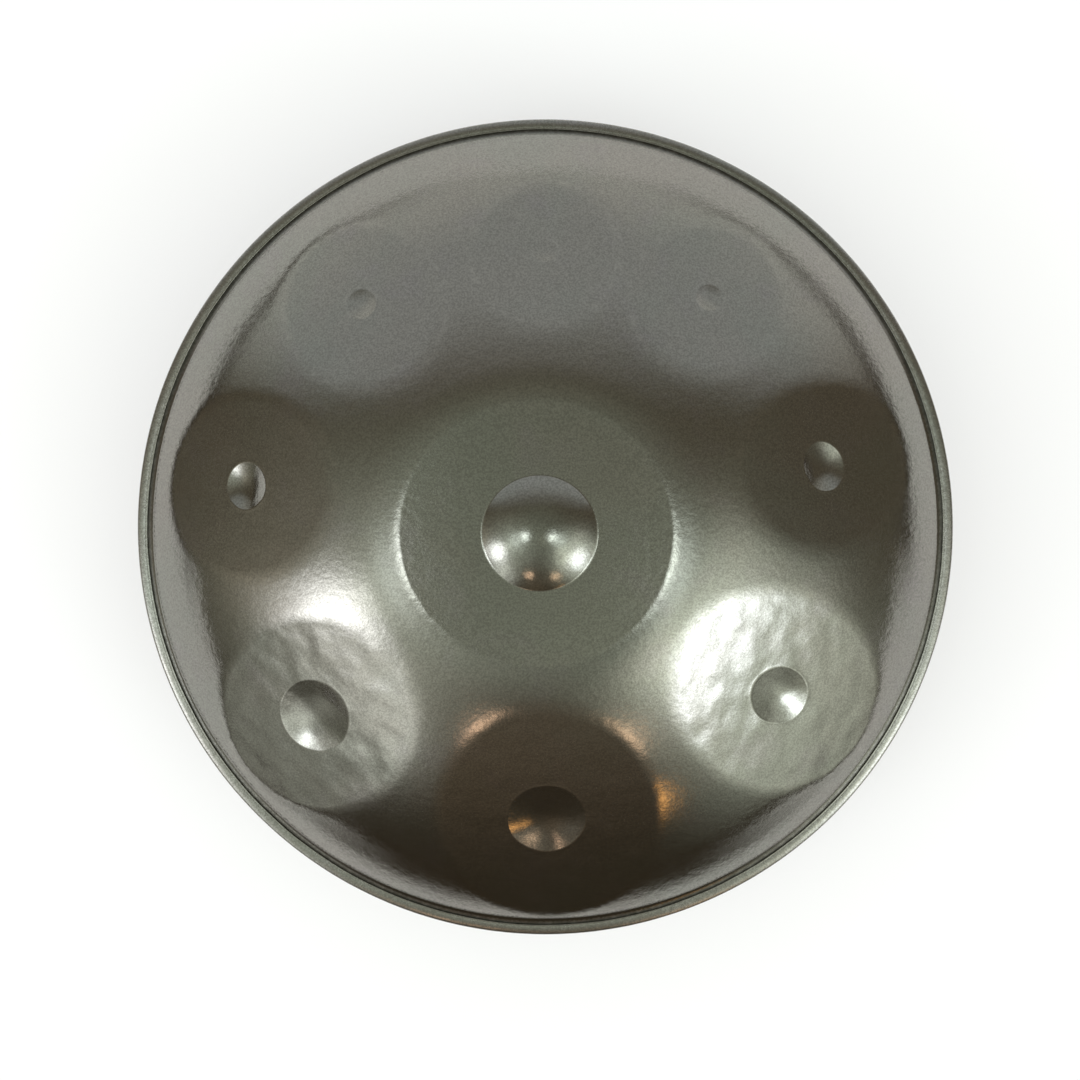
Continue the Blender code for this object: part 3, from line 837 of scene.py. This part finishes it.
def paper_material():
    material, tree = new_material("pale_paper")
    tree.tree.nodes.clear()
    path = tree.node("ShaderNodeLightPath").outputs
    where = tree.output("ShaderNodeNewGeometry", output="Position")
    x, y, _ = tree.node("ShaderNodeSeparateXYZ", {0: where}).outputs
    # the steel mirrors the paper a shade darker; it ends in front of the pan and, further
    # off, at both sides, and beyond it lies the dim room
    aside = tree.math("ABSOLUTE", x)
    corner = tree.math("MULTIPLY", tree.step(aside, over=(0.55, 1.15)),
                       tree.step(y, over=(-1.9, -1.3)))
    ahead = tree.math("MAXIMUM", tree.step(y, over=(-1.05, -0.65)), corner)
    beside = tree.math("MAXIMUM", tree.step(aside, over=(1.5, 2.5), to=(1.0, 0.0)),
                       tree.step(y, over=(-0.75, -0.15), to=(1.0, 0.0)))
    room = tree.output("ShaderNodeEmission", {"Color": MIRRORED_ROOM})
    mirrored = tree.output("ShaderNodeBsdfDiffuse", {"Color": MIRRORED_PAPER})
    seen = tree.mix_shader(tree.math("MULTIPLY", ahead, beside), room, mirrored)
    # for camera rays the paper is half an even glow, a painted light that lifts the shadow on it
    paper = tree.output("ShaderNodeBsdfDiffuse", {"Color": PAPER})
    paper_glow = tree.output("ShaderNodeEmission", {"Color": GLOWING_PAPER})
    shown = tree.mix_shader(tree.math("MULTIPLY", path["Is Camera Ray"], 0.5), paper, paper_glow)
    surface = tree.mix_shader(path["Is Glossy Ray"], shown, seen)
    tree.node("ShaderNodeOutputMaterial", {"Surface": surface})
    return material


def build_floor():
    mesh = bpy.data.meshes.new("studio_floor")
    corners = [(x * FLOOR_HALF, y * FLOOR_HALF, FLOOR_HEIGHT)
               for x, y in ((-1, -1), (1, -1), (1, 1), (-1, 1))]
    mesh.from_pydata(corners, [], [(0, 1, 2, 3)])
    floor = add_object("studio_floor", mesh)
    mesh.materials.append(paper_material())


def add_light(tree, colour, direction, away, azimuth, soft, glow):
    """Add a round soft light to the world's colour; see SOFT_LIGHTS for the values."""
    away, azimuth = radians(away), radians(azimuth)
    aim = (sin(away) * cos(azimuth), sin(away) * sin(azimuth), cos(away))
    dot = tree.output("ShaderNodeVectorMath", {0: direction, 1: aim}, "Value",
                      operation="DOT_PRODUCT")
    # exp(-(angle / soft)^2), with angle^2 close to 2 (1 - cos)
    power = tree.math("MULTIPLY", tree.math("SUBTRACT", dot, 1.0), 2.0 / radians(soft) ** 2)
    scaled = tree.output("ShaderNodeVectorMath",
                         {0: glow, "Scale": tree.math("EXPONENT", power)}, operation="SCALE")
    return tree.output("ShaderNodeVectorMath", {0: colour, 1: scaled}, operation="ADD")


def build_world():
    world = bpy.data.worlds.new("soft_studio")
    world.use_nodes = True
    bpy.context.scene.world = world
    tree = Tree(world.node_tree)
    tree.tree.nodes.clear()
    direction = tree.output("ShaderNodeTexCoord", output="Generated")
    x, y, z = tree.node("ShaderNodeSeparateXYZ", {0: direction}).outputs
    # degrees from straight up, in all and backwards only
    held = tree.math("MINIMUM", tree.math("MAXIMUM", z, -0.99999), 0.99999)
    polar = tree.math("MULTIPLY", tree.math("ARCCOSINE", held), DEGREES)
    back = tree.math("ARCTAN2", y, tree.math("MAXIMUM", z, 0.0001))
    back = tree.math("MULTIPLY", back, DEGREES)

    # a grey ceiling that gives way to a dim room on every side
    low = tree.step(polar, over=ROOM_LOW_EDGE)
    side = tree.mix(low, ROOM_SIDES, ROOM_SIDES_LOW)
    front = tree.mix(low, ROOM_FRONT, ROOM_FRONT_LOW)
    room = tree.mix(tree.step(y, over=(-0.75, -0.15)), front, side)
    room = tree.mix(tree.step(y, over=(-0.35, 0.35)), room, ROOM_BEHIND)
    colour = tree.mix(tree.step(polar, over=CEILING_EDGE), CEILING, room)
    for light in SOFT_LIGHTS:
        colour = add_light(tree, colour, direction, *light)
    # a pale backdrop hangs behind the pan
    aside = tree.math("DIVIDE", tree.math("ABSOLUTE", x), tree.math("MAXIMUM", y, 0.001))
    sheet = tree.math("MULTIPLY", tree.step(back, over=BACKDROP_TOP),
                      tree.step(aside, over=BACKDROP_SIDES, to=(1.0, 0.0)))
    backdrop = tree.mix(tree.step(polar, over=BACKDROP_FOOT_EDGE), BACKDROP, BACKDROP_FOOT)
    colour = tree.mix(sheet, colour, backdrop)
    camera_ray = tree.output("ShaderNodeLightPath", output="Is Camera Ray")
    colour = tree.mix(camera_ray, colour, CAMERA_RAY_SKY)
    background = tree.output("ShaderNodeBackground", {"Color": colour})
    tree.node("ShaderNodeOutputWorld", {"Surface": background})


def build_key_light():
    light = bpy.data.lights.new("overhead_soft_light", "SUN")
    light.energy = 1.95
    light.angle = radians(110)
    obj = add_object("overhead_soft_light", light)
    obj.rotation_euler = (radians(8), radians(-6), 0.0)
    obj.visible_glossy = False


def build_camera():
    """Looks down on the pan, with +y upwards in the view."""
    camera = bpy.data.cameras.new("camera")
    camera.sensor_width = 36.0
    camera.lens = 73.09
    camera.clip_start, camera.clip_end = 0.05, 50.0
    look = (CAMERA_TARGET - CAMERA_PLACE).normalized()
    right = look.cross(Vector((0, 1, 0))).normalized()
    matrix = Matrix((right, right.cross(look), -look)).transposed().to_4x4()
    matrix.translation = CAMERA_PLACE
    obj = add_object("camera", camera)
    obj.matrix_world = matrix
    bpy.context.scene.camera = obj


build_floor()
build_world()
build_key_light()
build_camera()
bpy.context.scene.view_settings.view_transform = "Standard"
